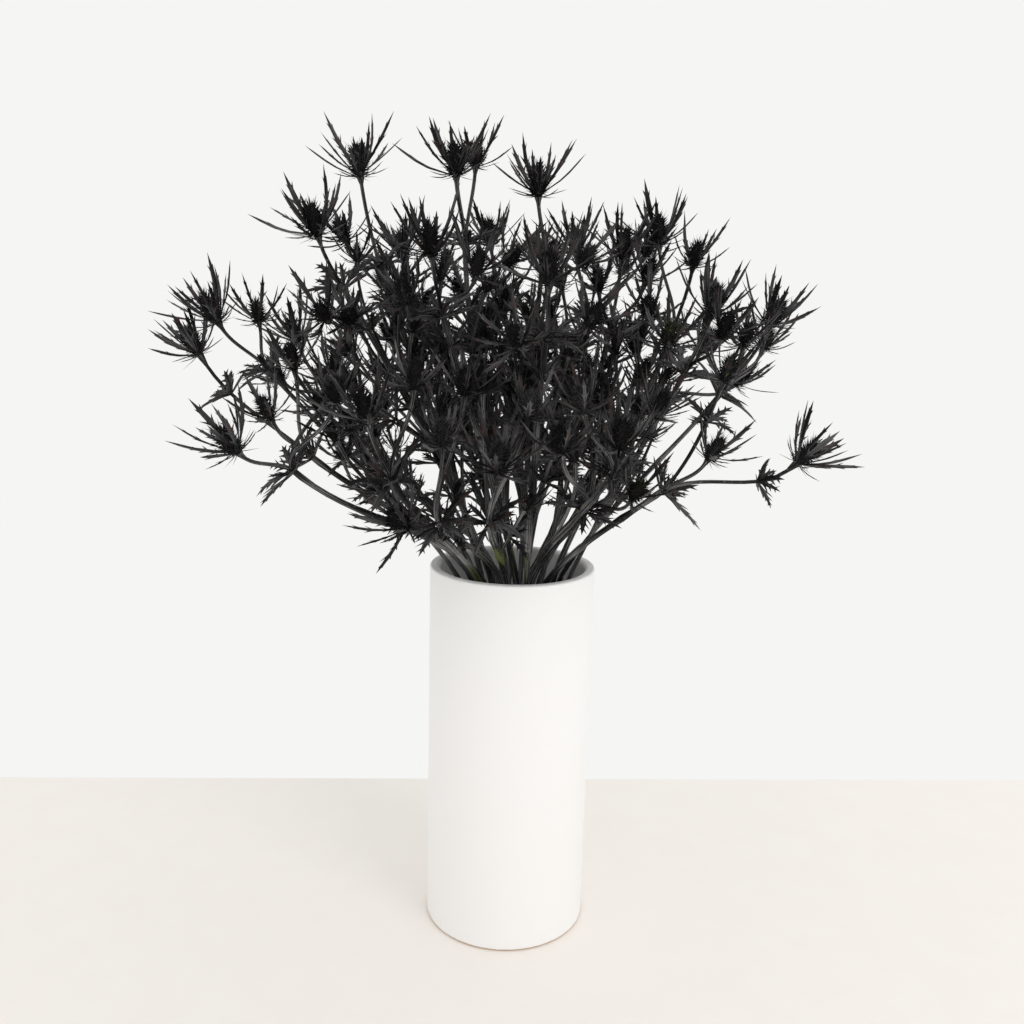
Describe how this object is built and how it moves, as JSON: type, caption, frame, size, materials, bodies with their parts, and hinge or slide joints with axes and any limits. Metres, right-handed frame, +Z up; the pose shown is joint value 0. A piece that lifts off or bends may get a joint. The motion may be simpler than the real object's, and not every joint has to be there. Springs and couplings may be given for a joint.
{
  "type": "vase of dyed thistle flowers",
  "caption": "Plain ceramic cylinder vase with water, holding a loose bunch of forked sea holly sprays: spiny-collared cone heads, toothed bracts and whorled leaves.",
  "frame": {"origin": "centre of the vase's foot, on the surface it stands on", "axes": "+Z up along the vase's axis, -Y towards the viewer of the picture, +X to the viewer's right"},
  "size_m": [0.4375, 0.3152, 0.5347],
  "materials": {
    "ceramic": "satin",
    "water": "gloss",
    "plant": "matte"
  },
  "bodies": {
    "root": {"vase": "ceramic", "water": "water", "spray_top_right": "plant", "spray_top_pair": "plant", "spray_top_left": "plant", "spray_back_top": "plant", "spray_upper_left": "plant", "spray_right_small": "plant", "spray_back_top_left": "plant", "spray_low_left": "plant", "spray_right_top": "plant", "spray_tall_left": "plant", "spray_right_front": "plant", "spray_back_top_right": "plant", "spray_left_low": "plant", "spray_right_crown": "plant", "spray_back_low_left": "plant", "spray_front_centre": "plant", "spray_back_right": "plant", "spray_left_long": "plant", "spray_low_right": "plant", "spray_back_centre": "plant", "spray_left_front": "plant", "spray_far_right": "plant", "spray_back_left": "plant", "spray_front_high": "plant", "spray_back_low_right": "plant", "spray_left_pair": "plant", "spray_right_mid": "plant"}
  },
  "joints": []
}
